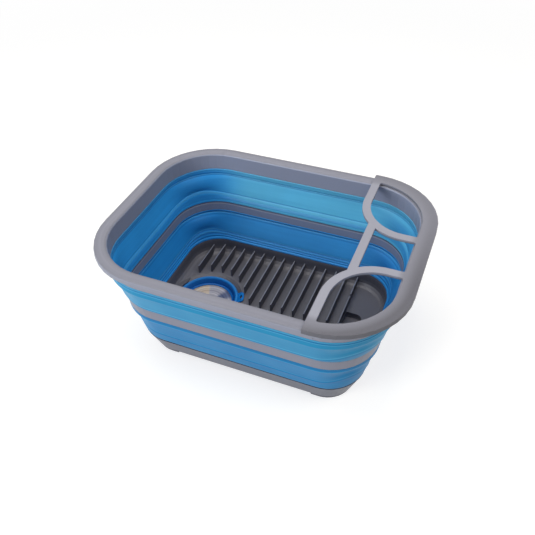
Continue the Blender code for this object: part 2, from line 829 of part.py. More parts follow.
def make_ear(turn):
    # A tongue with rounded corners and a slot, built as rows across its length
    half_end = ear_width / 2
    edge = math.sqrt(plug_flange_radius * plug_flange_radius - half_end * half_end)
    start = edge - plug_flange_thickness / 2
    root = floor_top - seat_depth + seat_gap + plug_flange_thickness / 2
    angle = ear_angle + turn
    tip_inset = rim_length / 2 - abs(drain_x + ear_reach * math.cos(angle))
    on_floor = tip_inset > dish_fillet()[0]
    radii = [start]
    for step in range(ear_steps):
        radii.append(edge + (ear_reach - edge) * step / (ear_steps - 1))
    rows = []
    bm = bmesh.new()
    for radius in radii:
        short = ear_corner - min(ear_reach - radius, ear_corner)
        half = half_end - ear_corner + math.sqrt(ear_corner * ear_corner - short * short)
        row = []
        for side in (-1, 1):
            x = drain_x + radius * math.cos(angle) - side * half * math.sin(angle)
            y = radius * math.sin(angle) + side * half * math.cos(angle)
            low, top = ear_pair(x, y, on_floor)
            if radius == start:
                low = (low[0], low[1], root)
            row.append([bm.verts.new(low), bm.verts.new(top)])
        rows.append(row)
    for before, after in zip(rows, rows[1:]):
        (low_a, top_a), (low_b, top_b) = before
        (low_c, top_c), (low_d, top_d) = after
        bm.faces.new((top_a, top_b, top_d, top_c))
        bm.faces.new((low_a, low_c, low_d, low_b))
        bm.faces.new((low_a, top_a, top_c, low_c))
        bm.faces.new((low_b, low_d, top_d, top_b))
    for (low_a, top_a), (low_b, top_b) in (rows[0], rows[-1]):
        bm.faces.new((low_a, low_b, top_b, top_a))
    ear = make_object("ear", bm, None)
    x = drain_x + ear_hole_reach * math.cos(angle)
    y = ear_hole_reach * math.sin(angle)
    radius = ear_hole_width / 2
    middle = ear_hole_length / 2 - radius
    steps = ear_steps // 2
    points = []
    for end in (1, -1):
        across = angle + end * math.pi / 2
        for step in range(steps + 1):
            around = across + math.pi * (step / steps - 1 / 2)
            slot_x = x + middle * math.cos(across) + radius * math.cos(around)
            slot_y = y + middle * math.sin(across) + radius * math.sin(around)
            points.append((slot_x, slot_y))
    hole = make_prism("ear_hole", points, floor_bottom, base_top)
    apply_boolean(ear, hole, "DIFFERENCE")
    return ear


def make_plate(material):
    # Thin dished steel plate with a small hub pressed into its middle
    seat = floor_top - seat_depth + seat_gap
    top = seat + plug_flange_thickness + plug_bead_height - plate_drop
    low = top - plate_thickness
    hub = top - plate_hub_drop
    ridge = plate_hub_radius * 2
    profile = [(0, low), (plate_radius, low), (plate_radius, top), (ridge, top)]
    profile += [(plate_hub_radius, hub), (0, hub)]
    return make_turned("plug_plate", profile, drain_x, material)


# Organiser


def organiser_outer(inset):
    # The right end of the rim outline at an inset, moved outwards, front to rear
    points = [(x + organiser_shift, y) for x, y in rim_outline(inset)]
    rear = points[:corner_segments + 1]
    front = points[3 * (corner_segments + 1):]
    return front + rear


def outline_y(inset, x):
    # Where the rear side of the outline lies at x
    radius = rim_corner_radius - inset
    across = max(x - corner_x, 0)
    return corner_y + math.sqrt(radius * radius - across * across)


def outline_x(inset, y):
    # Where the right end of the outline lies at y
    radius = rim_corner_radius - inset
    across = max(abs(y) - corner_y, 0)
    return corner_x + math.sqrt(radius * radius - across * across)


def organiser_curve(radius, first, last):
    # Rear curved bar edge, from the arm at 180 degrees round to the crossbar at 270
    points = []
    for step in range(curve_segments + 1):
        angle = first + (last - first) * step / curve_segments
        x = organiser_curve_x + radius * math.cos(angle)
        points.append((x, organiser_curve_y + radius * math.sin(angle)))
    return points


def organiser_silhouette():
    left = organiser_left
    outer = [(x, y) for x, y in organiser_outer(-organiser_overhang) if x > left]
    half = outline_y(-organiser_overhang, left - organiser_shift)
    reach = organiser_curve_x - organiser_middle_left
    last = math.pi + math.acos(reach / organiser_curve_radius)
    curve = organiser_curve(organiser_curve_radius, math.pi, last)
    points = [(left, -half)] + outer + [(left, half)]
    points += curve
    points += [(x, -y) for x, y in curve[::-1]]
    return points


def round_corners(points):
    # Every sharp corner of a closed outline becomes an arc that touches both sides
    steps = organiser_corner_steps
    rounded = []
    for index, point in enumerate(points):
        here = Vector(point)
        before = Vector(points[index - 1]) - here
        after = Vector(points[(index + 1) % len(points)]) - here
        turn = math.pi - before.angle(after)
        if turn < organiser_corner_angle:
            rounded.append(point)
            continue
        reach = organiser_hole_corner * math.tan(turn / 2)
        reach = min(reach, corner_reach_share * min(before.length, after.length))
        radius = reach / math.tan(turn / 2)
        towards = (before.normalized() + after.normalized()).normalized()
        centre = here + towards * (radius / math.cos(turn / 2))
        first = here + before.normalized() * reach - centre
        side = math.copysign(turn, before.cross(after))
        for step in range(steps + 1):
            arm = Matrix.Rotation(-side * step / steps, 2) @ first
            rounded.append((centre.x + arm.x, centre.y + arm.y))
    return rounded


def side_opening():
    # Rear D-shaped opening: arm, curved bar, crossbar, then the rim's inner outline
    inset = organiser_hole_inset
    left = organiser_left + organiser_bar_width
    radius = organiser_curve_x - left
    low = organiser_curve_y - radius
    points = organiser_curve(radius, math.pi, 1.5 * math.pi)
    points.append((outline_x(inset, low), low))
    rear = rim_outline(inset)[:corner_segments + 1]
    points += [(x, y) for x, y in rear if x > left and y > low]
    return round_corners(points + [(left, outline_y(inset, left))])


def middle_opening():
    left = organiser_middle_left + organiser_bar_width
    radius = organiser_curve_radius
    first = math.pi + math.acos((organiser_curve_x - left) / radius)
    curve = organiser_curve(radius, first, 1.5 * math.pi)
    half = organiser_curve_y - radius
    right = outline_x(organiser_hole_inset, half)
    rear = curve + [(right, half)]
    return round_corners(rear + [(x, -y) for x, y in rear[::-1]])


def make_organiser(material):
    under = rim_top + seat_gap
    top = under + organiser_thickness
    low = top - organiser_skirt
    item = make_prism("cutlery_organiser", organiser_silhouette(), low, top, material)
    # The skirt stays outside the rim; inside it the plate lies on the flange
    wall_inset = -seat_gap
    inner_inset = flange_width + seat_gap
    clear = make_band(
        "rim_clear",
        [
            (wall_inset, low - overrun),
            (wall_inset, under),
            (inner_inset, under),
            (inner_inset, low - overrun),
        ],
        None,
    )
    apply_boolean(item, clear, "DIFFERENCE")
    # The bars inside the rim are shallower than the skirt
    bar_low = top - organiser_bar_depth
    shallow = make_stack(
        "bar_clear",
        [(flange_width - overrun, low - overrun), (flange_width - overrun, bar_low)],
    )
    apply_boolean(item, shallow, "DIFFERENCE")
    side = side_opening()
    holes = [side, [(x, -y) for x, y in side], middle_opening()]
    for points in holes:
        cutter = make_prism("opening", points, low - overrun, top + overrun)
        apply_boolean(item, cutter, "DIFFERENCE")
    bevel = item.modifiers.new("edge_bevel", "BEVEL")
    bevel.width = organiser_edge_bevel
    bevel.segments = 1
    bevel.limit_method = "ANGLE"
    bevel.angle_limit = math.radians(50)
    return item


# The joints' axes


def make_axis(name, x, z, pieces):
    axis = bpy.data.objects.new(name, None)
    bpy.context.scene.collection.objects.link(axis)
    axis.empty_display_size = floor_top
    axis.location = (x, 0, z)
    for piece in pieces:
        piece.parent = axis
        piece.matrix_parent_inverse = Matrix.Translation((-x, 0, -z))
    return axis


def build():
    clear_scene()
    grey = make_material("rim_plastic", (0.36, 0.35, 0.40), 0.42)
    ring_grey = make_material("ring_plastic", (0.30, 0.31, 0.37), 0.45)
    dark = make_material("base_plastic", (0.13, 0.135, 0.16), 0.48)
    blue = make_material("blue_rubber", (0.05, 0.24, 0.55), 0.5)
    deep = make_material("blue_rubber_low", (0.04, 0.20, 0.48), 0.5)
    plug_blue = make_material("plug_rubber", (0.02, 0.12, 0.42), 0.38)
    steel = make_material("plate_steel", (0.62, 0.58, 0.52), 0.28, 1.0)
    pad = make_material("foot_rubber", (0.09, 0.09, 0.11), 0.6)
    clip = make_material("organiser_plastic", (0.38, 0.37, 0.42), 0.4)
    rim = make_rim(grey)
    make_axis("rim_axis", 0, rim_skirt_bottom, [rim])
    upper = make_upper_wall(blue)
    ring = make_ring(ring_grey)
    make_axis("ring_axis", 0, ring_bottom, [ring, upper])
    make_lower_wall(deep)
    make_base(dark)
    make_foot("foot_pad_rear_right", 1, 1, pad)
    make_foot("foot_pad_rear_left", -1, 1, pad)
    make_foot("foot_pad_front_left", -1, -1, pad)
    make_foot("foot_pad_front_right", 1, -1, pad)
    organiser = make_organiser(clip)
    make_axis("organiser_axis", organiser_curve_x, rim_top, [organiser])
    plug = make_plug(plug_blue)
    plate = make_plate(steel)
    make_axis("plug_axis", drain_x, floor_top, [plug, plate])
    bpy.context.view_layer.update()


build()
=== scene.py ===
# %% [markdown]
# A folding camp washbasin: a hard grey rim, middle ring and base, joined by two
# blue rubber walls that fold flat. The hard pieces come finished from the packed
# model, so here they only need their plastics. The two rubber walls are modelled
# here again, because their corners are soft hollows, which one section led round
# the basin doesn't show.

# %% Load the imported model
import math

import bpy
from mathutils import Matrix, Vector


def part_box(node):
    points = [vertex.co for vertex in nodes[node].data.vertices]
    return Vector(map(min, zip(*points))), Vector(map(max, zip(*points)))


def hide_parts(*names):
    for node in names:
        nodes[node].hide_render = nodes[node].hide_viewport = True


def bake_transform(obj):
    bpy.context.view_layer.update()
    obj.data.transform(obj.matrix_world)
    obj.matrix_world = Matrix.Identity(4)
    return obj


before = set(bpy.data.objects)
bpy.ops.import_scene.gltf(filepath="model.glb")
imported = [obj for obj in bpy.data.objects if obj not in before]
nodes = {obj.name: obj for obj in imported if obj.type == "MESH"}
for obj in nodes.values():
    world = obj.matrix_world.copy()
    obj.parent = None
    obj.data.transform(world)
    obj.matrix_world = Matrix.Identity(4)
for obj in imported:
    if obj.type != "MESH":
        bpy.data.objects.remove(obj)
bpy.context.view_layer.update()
MM = 0.001
print("pieces:", ", ".join(sorted(nodes)))

# %% [markdown]
# The camera comes first, so that every render can be set beside the photograph.
# It could be placed by eye, but the basin's outlines are plain rounded
# rectangles, and their shape in the picture gives the view itself: it looks down
# from the front right at 42 degrees, a little tilted.

# %% Camera
FRAME_PX = 535
VIEW_AZIMUTH = math.radians(23.659)
VIEW_HEIGHT = math.radians(42.444)
VIEW_ROLL = math.radians(-2.141)
VIEW_DISTANCE = 832.06 * MM
VIEW_TARGET = Vector((-18.18, 44.46, 60.0)) * MM
FOCAL_PX = 616.03
SENSOR_WIDTH = 36.0


def view_axes():
    flat = math.cos(VIEW_HEIGHT)
    back = Vector((math.sin(VIEW_AZIMUTH) * flat, -math.cos(VIEW_AZIMUTH) * flat, 0))
    back.z = math.sin(VIEW_HEIGHT)
    right = Vector((0, 0, 1)).cross(back).normalized()
    up = back.cross(right)
    turned_right = right * math.cos(VIEW_ROLL) + up * math.sin(VIEW_ROLL)
    turned_up = up * math.cos(VIEW_ROLL) - right * math.sin(VIEW_ROLL)
    return turned_right, turned_up, back


right, up, back = view_axes()
lens = bpy.data.cameras.new("camera")
lens.sensor_width = SENSOR_WIDTH
lens.lens = FOCAL_PX / FRAME_PX * SENSOR_WIDTH
camera = bpy.data.objects.new("camera", lens)
bpy.context.scene.collection.objects.link(camera)
turn = Matrix((right, up, back)).transposed().to_4x4()
camera.matrix_world = Matrix.Translation(VIEW_TARGET + back * VIEW_DISTANCE) @ turn
bpy.context.scene.camera = camera
print("lens", round(lens.lens, 2), "mm")

# %% [markdown]
# A finish is a sum of masks and colours, and such sums read best as ordinary
# expressions. Nodes could be wired one by one, but then the sum is lost in the
# wiring. This small class holds one output of a material's node tree, and adds a
# Math node for each operator. What is no plain arithmetic goes through
# `Surface.node`, in the next cell.


# %% A socket that can be written in sums
class Value:
    def __init__(self, surface, socket):
        self.surface = surface
        self.socket = socket

    def maths(self, operation, *others, swap=False):
        terms = (self, *others)
        if swap:
            terms = terms[::-1]
        return self.surface.node("Math", {"operation": operation}, terms)

    def __add__(self, other):
        return self.maths("ADD", other)

    def __sub__(self, other):
        return self.maths("SUBTRACT", other)

    def __mul__(self, other):
        return self.maths("MULTIPLY", other)

    def __truediv__(self, other):
        return self.maths("DIVIDE", other)

    def __pow__(self, other):
        return self.maths("POWER", other)

    def __radd__(self, other):
        return self.maths("ADD", other, swap=True)

    def __rsub__(self, other):
        return self.maths("SUBTRACT", other, swap=True)

    def __rmul__(self, other):
        return self.maths("MULTIPLY", other, swap=True)

    def __rtruediv__(self, other):
        return self.maths("DIVIDE", other, swap=True)

    def __neg__(self):
        return self.maths("MULTIPLY", -1.0)


# %% [markdown]
# A `Surface` is one material. It starts from the Principled shader, gives the
# object's own coordinates, and knows the few recipes that many finishes share: a
# smooth step between two values, a band round one value, a mix of two colours, a
# cloudy noise and a bump. Every measure is in metres, as on the object, so a
# mask can be read off a drawing of the piece.


# %% Materials as small surfaces
def linear(red, green, blue):
    # Colours are noted as a screen shows them, and the shader wants light
    channels = []
    for level in (red, green, blue):
        share = level / 255
        if share <= 0.04045:
            channels.append(share / 12.92)
        else:
            channels.append(((share + 0.055) / 1.055) ** 2.4)
    return (*channels, 1.0)


class Surface:
    def __init__(self, name, shine=0.38):
        self.material = bpy.data.materials.new(name)
        self.material.use_nodes = True
        self.tree = self.material.node_tree
        self.shader = self.tree.nodes["Principled BSDF"]
        self.shader.inputs["Specular IOR Level"].default_value = shine
        self.place = self.node("TexCoord", {}, {}, "Object")

    def node(self, kind, settings, inputs, output=0):
        made = self.tree.nodes.new("ShaderNode" + kind)
        for name, value in settings.items():
            setattr(made, name, value)
        if not isinstance(inputs, dict):
            inputs = dict(enumerate(inputs))
        for name, value in inputs.items():
            self.feed(made.inputs[name], value)
        return Value(self, made.outputs[output])

    def feed(self, socket, value):
        if isinstance(value, Value):
            self.tree.links.new(value.socket, socket)
        else:
            socket.default_value = value

    def axes(self, vector=None):
        parts = self.node("SeparateXYZ", {}, [vector or self.place])
        outs = parts.socket.node.outputs
        return [Value(self, outs[index]) for index in range(3)]

    def facing(self):
        # Which way the surface faces, as its three shares along the axes
        return self.axes(self.node("NewGeometry", {}, {}, "Normal"))

    def step(self, value, start, end):
        ranges = {"Value": value, "From Min": start, "From Max": end}
        return self.node("MapRange", {"interpolation_type": "SMOOTHSTEP"}, ranges)

    def band(self, value, middle, half_width, blur):
        away = (value - middle).maths("ABSOLUTE")
        return 1.0 - self.step(away, half_width, half_width + blur)

    def mix(self, share, first, second):
        made = self.tree.nodes.new("ShaderNodeMix")
        made.data_type = "RGBA"
        # A colour mix has its factor at socket 0 and its two colours at 6 and 7
        for index, value in ((0, share), (6, first), (7, second)):
            self.feed(made.inputs[index], value)
        return Value(self, made.outputs[2])

    def noise(self, size, detail=2.0, vector=None):
        # size is how wide one cloud of the noise is, in metres
        inputs = {"Vector": vector or self.place, "Scale": 1 / size, "Detail": detail}
        return self.node("TexNoise", {}, inputs)

    def drive(self, name, value):
        self.tree.links.new(value.socket, self.shader.inputs[name])

    def bump(self, height, depth):
        # height runs from 0 to 1, and depth is how many metres that 1 is
        inputs = {"Strength": 1.0, "Distance": depth, "Height": height}
        self.drive("Normal", self.node("Bump", {}, inputs))


def length_of(x, y):
    return (x * x + y * y).maths("SQRT")


def dress(name, surface):
    for slot in nodes[name].material_slots:
        slot.material = surface.material
    print(name, "wears", surface.material.name)


print("a screen grey of 128 is", round(linear(128, 128, 128)[0], 3), "as light")

# %% [markdown]
# Seen from above, every band of the basin is the rim's rounded rectangle, drawn
# in by some inset. So each point of a band is known by two numbers, its inset
# from the rim's edge and its height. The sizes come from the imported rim, so that
# the walls made here meet it.

# %% Outline shared by all bands
rim_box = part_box("rim_frame")
HALF_LENGTH = rim_box[1].x
HALF_WIDTH = rim_box[1].y
CORNER_RADIUS = 84.5 * MM
CORNER_X = HALF_LENGTH - CORNER_RADIUS
CORNER_Y = HALF_WIDTH - CORNER_RADIUS
print("rim", round(HALF_LENGTH * 2, 4), "x", round(HALF_WIDTH * 2, 4))


def inset_of(x, y):
    # How far a point lies inside the rim's outer edge
    beyond_x = abs(x) - CORNER_X
    beyond_y = abs(y) - CORNER_Y
    if beyond_x > 0 and beyond_y > 0:
        return CORNER_RADIUS - math.hypot(beyond_x, beyond_y)
    return min(HALF_LENGTH - abs(x), HALF_WIDTH - abs(y))


def corner_share(x, y):
    # 0 along the straight sides, 1 in the middle of a corner
    beyond_x = abs(x) - CORNER_X
    beyond_y = abs(y) - CORNER_Y
    if beyond_x <= 0 or beyond_y <= 0:
        return 0.0
    return math.sin(2 * math.atan2(beyond_y, beyond_x)) ** 2


# %% [markdown]
# A rubber wall is one moulded section led round the basin. A curve with a bevel
# could do that too, but it narrows the section in the corners. By hand it is a
# ring of vertices pushed to the shape of the section, extruded along half of a
# short side, spun through the corner, extruded along half of a long side, and
# mirrored twice.

# %% Lead a section round a quarter of the basin
STRAIGHT_STEPS = 4
CORNER_STEPS = 12


def deselect():
    if bpy.context.object and bpy.context.object.mode != "OBJECT":
        bpy.ops.object.mode_set(mode="OBJECT")
    bpy.ops.object.select_all(action="DESELECT")


def section_ring(name, section):
    # The section stands on the line y = 0 at the basin's right end
    deselect()
    bpy.ops.mesh.primitive_circle_add(vertices=len(section), radius=HALF_WIDTH)
    ring = bpy.context.object
    ring.name = name
    for vertex, (inset, height) in zip(ring.data.vertices, section):
        vertex.co = (HALF_LENGTH - inset * MM, 0, height * MM)
    return ring


def extrude_straight(length_x, length_y):
    move = (length_x / STRAIGHT_STEPS, length_y / STRAIGHT_STEPS, 0)
    for _ in range(STRAIGHT_STEPS):
        bpy.ops.mesh.extrude_region_move(TRANSFORM_OT_translate={"value": move})


def lead_round(wall):
    bpy.ops.object.mode_set(mode="EDIT")
    bpy.ops.mesh.select_all(action="SELECT")
    extrude_straight(0, CORNER_Y)
    centre = (CORNER_X, CORNER_Y, 0)
    quarter = -math.pi / 2
    bpy.ops.mesh.spin(steps=CORNER_STEPS, angle=quarter, center=centre, axis=(0, 0, 1))
    extrude_straight(-CORNER_X, 0)
    bpy.ops.object.mode_set(mode="OBJECT")
    reach = max(vertex.co.y for vertex in wall.data.vertices)
    print(wall.name, "quarter reaches y", round(reach, 4))


# %% [markdown]
# The quarter is mirrored to a whole wall, and its seams are merged. Each point then keeps
# three marks: its height on the moulded section, which side of the rubber it is on, and
# how far into a corner it is. The finish follows these marks, so its lines of painted
# highlight and shade stay on the beads where the corners are pulled out of shape.
# Subdivision rounds the beads last, and carries the marks along.

# %% Close, mark and round a wall
MIRROR_MERGE = 0.01 * MM
SEAM_MERGE = 0.005 * MM
ROUNDING_LEVELS = 2


def mirror_quarter(wall):
    mirror = wall.modifiers.new("mirror", "MIRROR")
    mirror.use_axis = (True, True, False)
    mirror.merge_threshold = MIRROR_MERGE
    bpy.ops.object.modifier_apply(modifier=mirror.name)
    bpy.ops.object.mode_set(mode="EDIT")
    bpy.ops.mesh.select_all(action="SELECT")
    bpy.ops.mesh.remove_doubles(threshold=SEAM_MERGE)
    bpy.ops.mesh.normals_make_consistent(inside=False)
    bpy.ops.object.mode_set(mode="OBJECT")


def mark_section(wall, section):
    # The section runs down the outside and, past its lowest point, up the inside
    lowest = min(range(len(section)), key=lambda index: section[index][1])
    height_mark = wall.data.attributes.new("moulded_height", "FLOAT", "POINT")
    side_mark = wall.data.attributes.new("inner_side", "FLOAT", "POINT")
    corner_mark = wall.data.attributes.new("corner_share", "FLOAT", "POINT")
    worst = 0.0
    for index, vertex in enumerate(wall.data.vertices):
        inset = inset_of(vertex.co.x, vertex.co.y) / MM
        height = vertex.co.z / MM
        away = [math.hypot(inset - point[0], height - point[1]) for point in section]
        worst = max(worst, min(away))
        nearest = away.index(min(away))
        height_mark.data[index].value = section[nearest][1]
        side_mark.data[index].value = 1.0 if nearest > lowest else 0.0
        corner_mark.data[index].value = corner_share(vertex.co.x, vertex.co.y)
    print(wall.name, "marked, worst match", round(worst, 3), "mm")


def smooth_wall(wall):
    rounding = wall.modifiers.new("rounding", "SUBSURF")
    rounding.levels = ROUNDING_LEVELS
    rounding.render_levels = ROUNDING_LEVELS
    bpy.ops.object.modifier_apply(modifier=rounding.name)
    bpy.ops.object.shade_smooth()
    wall.data.calc_loop_triangles()
    print(wall.name, "triangles", len(wall.data.loop_triangles))


# %% [markdown]
# In the corners the rubber has to lose length as it folds, so the panel there is
# a hollow like a leaf: the lower crease climbs away from the band below it, and
# the panel sinks in above it. It could be sculpted, but two smooth curves over
# the height do it alike in all four corners, pulled by how far a point is into
# the corner.


# %% The hollow corners
def hump(share):
    # A smooth hill over 0 to 1, and nothing outside
    if share <= 0 or share >= 1:
        return 0.0
    return math.sin(math.pi * share) ** 2


def climb(height, foot, crease, top):
    # 0 at the foot, 1 at the crease, 0 again at the top
    if foot < height < crease:
        share = (height - foot) / (crease - foot)
    elif crease <= height < top:
        share = (top - height) / (top - crease)
    else:
        return 0.0
    return share * share * (3 - 2 * share)


def hollow_corners(wall, foot, crease, top, rise, low, high, depth):
    # The crease climbs by rise between foot and top, and the panel sinks in by
    # depth between low and high: heights, rise and depth are all in mm
    moved = 0
    for vertex in wall.data.vertices:
        share = corner_share(vertex.co.x, vertex.co.y)
        if share == 0:
            continue
        height = vertex.co.z / MM
        inward = depth * share * hump((height - low) / (high - low)) * MM
        lift = rise * share * climb(height, foot, crease, top) * MM
        centre = Vector((math.copysign(CORNER_X, vertex.co.x),
                         math.copysign(CORNER_Y, vertex.co.y), vertex.co.z))
        vertex.co += (centre - vertex.co).normalized() * inward
        vertex.co.z += lift
        moved += 1
    print(wall.name, "corner vertices moved", moved)


# %% [markdown]
# The upper wall hangs from the rim and ends over the ring. Its section, as (inset,
# height) in millimetres, runs down the outside, round the lap over the ring and up the
# inside: a lap under the rim, a fine moulded groove, a bead, the slanted panel, the lower
# bead and the lap over the ring. When the basin folds, its top goes with the rim and its
# foot stays with the ring, but here the wall is made only in its open shape.

# %% Upper rubber wall
upper_section = [
    (11.3, 148.1), (11.2, 147.2), (11.2, 145.4), (11.35, 144.9), (11.75, 144.5),
    (11.35, 144.1), (11.2, 143.6), (11.2, 140.2), (11.0, 138.4), (10.9, 137.2),
    (11.5, 136.0), (12.5, 133.4), (14.2, 128.0), (16.5, 120.4), (18.2, 114.4),
    (19.2, 110.6), (19.4, 109.4), (19.3, 108.4), (19.8, 107.2), (21.1, 105.2),
    (22.4, 103.3), (22.9, 103.1), (24.5, 103.1), (25.2, 98.9), (26.1, 98.9),
    (26.0, 101.4), (25.2, 104.2), (23.7, 106.2), (23.2, 107.0), (22.9, 108.6),
    (22.2, 110.8), (21.3, 111.8), (21.2, 113.2), (19.2, 120.4), (16.8, 128.4),
    (15.2, 134.6), (14.4, 137.0), (13.9, 137.6), (14.1, 138.2), (14.0, 138.8),
    (13.6, 139.4), (14.2, 140.2), (15.0, 141.2), (15.1, 144.8), (15.6, 145.9),
    (15.7, 146.9), (15.2, 147.4), (14.0, 147.5), (13.0, 148.1),
]
upper_wall = section_ring("upper_rubber_wall", upper_section)
lead_round(upper_wall)
mirror_quarter(upper_wall)
mark_section(upper_wall, upper_section)
hollow_corners(upper_wall, foot=103, crease=109, top=126, rise=6.0,
               low=110, high=141, depth=4.4)
smooth_wall(upper_wall)
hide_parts("upper_fold_wall")
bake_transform(upper_wall)

# %% [markdown]
# The lower wall is made in the same way between the ring and the base, because
# it is moulded in the same way. It holds the ring's tongue at the top and laps
# the base's shoulder at the bottom.

# %% Lower rubber wall
lower_section = [
    (25.3, 86.2), (25.5, 84.8), (25.6, 82.8), (25.2, 81.6), (25.2, 80.8),
    (25.9, 79.4), (28.0, 72.5), (30.4, 64.5), (32.6, 57.0), (33.4, 54.0),
    (33.5, 52.6), (33.3, 51.6), (33.6, 50.5), (34.3, 48.9), (35.3, 45.4),
    (36.5, 40.0), (37.7, 35.0), (39.5, 34.9), (39.4, 38.5), (39.3, 42.2),
    (41.4, 42.2), (41.3, 43.0), (40.7, 44.2), (39.7, 45.2), (39.1, 45.6),
    (39.3, 46.4), (38.9, 47.4), (38.0, 48.1), (37.6, 48.6), (37.7, 49.6),
    (37.3, 50.8), (36.5, 51.6), (36.0, 52.4), (36.1, 53.6), (35.4, 57.0),
    (33.2, 64.5), (30.8, 72.5), (28.9, 78.6), (28.3, 79.8), (28.4, 80.6),
    (28.1, 81.4), (27.5, 82.0), (27.6, 83.0), (28.3, 84.2), (28.4, 85.4),
    (28.0, 86.2),
]
lower_wall = section_ring("lower_rubber_wall", lower_section)
lead_round(lower_wall)
mirror_quarter(lower_wall)
mark_section(lower_wall, lower_section)
hollow_corners(lower_wall, foot=42.5, crease=52.5, top=70, rise=6.0,
               low=54, high=84, depth=4.4)
smooth_wall(lower_wall)
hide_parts("lower_fold_wall")
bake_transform(lower_wall)

# %% [markdown]
# The walls are satin silicone rubber. Its colour is even, but fingers and mould
# polish change its gloss in soft patches, and the mould leaves very fine streaks.
# The inside is painted lighter and bluer than the outside, as painted light. Painted
# highlights and painted shade lie along the beads and creases in fine lines, a painted
# pale sheen lies on the inside of the rear wall, and painted shade makes the hollows of
# the corners the deepest blue. One picture of all that would sit still while the wall is
# pulled into shape, so every line is a band of the moulded height that the wall was
# marked with.


# %% Blue rubber
def painted_line_light(surface, height, side, lines):
    # Every line is (height, half width, blur, strength), all in mm on the section: above
    # 0 it is a painted highlight there, below 0 painted shade
    painted_highlight, deep_tone_and_painted_shade = 0.0, 0.0
    for middle, half_width, blur, strength in lines:
        mark = surface.band(height, middle, half_width, blur) * side * abs(strength)
        if strength > 0:
            painted_highlight = mark + painted_highlight
        else:
            deep_tone_and_painted_shade = mark + deep_tone_and_painted_shade
    return painted_highlight, deep_tone_and_painted_shade


def rubber_streaks(surface):
    # Level streaks, as the wall was drawn off its mould
    stretch = (1.0, 1.0, 26.0)
    stretched = surface.node("VectorMath", {"operation": "MULTIPLY"},
                             [surface.place, stretch])
    return surface.noise(90 * MM, 4.0, stretched)


# A painted sheen: a pale patch on the inside of the rear wall
def rear_painted_sheen(surface, clouds):
    x, y, _ = surface.axes()
    rear = surface.step(y, 30 * MM, 120 * MM) * surface.step(x, -140 * MM, -70 * MM)
    return rear * (0.7 + 0.4 * clouds)


def rubber_finish(name, outside, inside, painted_sheen, painted_highlight, deep_tone_and_painted_shade, corner_shade_height,
                  outer_painted_lines, inner_painted_lines):
    surface = Surface(name, shine=0.2)
    height = surface.node("Attribute", {"attribute_name": "moulded_height"}, {}, "Fac")
    inner = surface.node("Attribute", {"attribute_name": "inner_side"}, {}, "Fac")
    corner = surface.node("Attribute", {"attribute_name": "corner_share"}, {}, "Fac")
    outer = 1.0 - inner
    clouds = surface.noise(50 * MM, 3.0)
    streaks = rubber_streaks(surface)
    patchy = surface.step(clouds * 0.5 + streaks * 0.5, 0.35, 0.65)
    # Painted sheen on the inside of the rear wall
    with_painted_sheen = surface.mix(rear_painted_sheen(surface, clouds), inside, painted_sheen)
    # Painted light: the inside is a lighter, bluer copy of the outside colour
    tone = surface.mix(inner, outside, with_painted_sheen)
    tone = surface.mix(patchy * 0.16, tone, deep_tone_and_painted_shade)
    # Painted shade: the hollow of a corner is darkened to the deepest blue there
    painted_corner_shade = surface.band(height, corner_shade_height, 6.0, 9.0) * inner
    tone = surface.mix(painted_corner_shade * corner ** 0.6 * 0.5, tone, deep_tone_and_painted_shade)
    # Painted highlights and painted shade along the beads and creases
    outer_painted_highlight, outer_painted_shade = painted_line_light(surface, height, outer, outer_painted_lines)
    inner_painted_highlight, inner_painted_shade = painted_line_light(surface, height, inner, inner_painted_lines)
    tone = surface.mix(outer_painted_highlight + inner_painted_highlight, tone, painted_highlight)
    tone = surface.mix(outer_painted_shade + inner_painted_shade, tone, deep_tone_and_painted_shade)
    surface.drive("Base Color", tone)
    surface.drive("Roughness", 0.36 + 0.14 * clouds)
    grain = surface.noise(0.9 * MM, 2.0)
    surface.bump(grain * 0.3 + streaks * 0.7, 0.08 * MM)
    return surface


# %% [markdown]
# Each wall gets its own colours and its own lists of painted highlight and shade lines.
# The upper rubber is lighter than the lower one on the real basin too, and two named
# finishes keep them apart without a second recipe.

# %% Dress the two walls
upper_rubber = rubber_finish(
    "upper_rubber",
    outside=linear(26, 140, 185),
    # The inside colour is painted light, lighter and bluer than the outside
    inside=linear(50, 156, 226),
    painted_sheen=linear(92, 180, 212),
    painted_highlight=linear(120, 196, 226),
    deep_tone_and_painted_shade=linear(14, 84, 152),
    corner_shade_height=122.0,
    outer_painted_lines=[
        (146.6, 0.7, 0.5, 0.22), (144.5, 0.2, 0.4, -0.7), (143.2, 0.3, 0.5, 0.3),
        (110.2, 0.4, 0.7, 0.3), (108.0, 0.4, 0.6, -0.4), (105.0, 1.4, 1.2, -0.22),
    ],
    inner_painted_lines=[
        (146.4, 0.5, 0.5, 0.4), (143.4, 1.6, 1.0, 0.12), (139.4, 0.3, 0.3, -0.4),
        (138.5, 0.2, 0.3, 0.35), (137.5, 0.3, 0.4, -0.45), (112.0, 0.3, 0.5, -0.45),
        (109.3, 1.2, 0.9, 0.22), (104.6, 1.5, 1.2, -0.5),
    ],
)
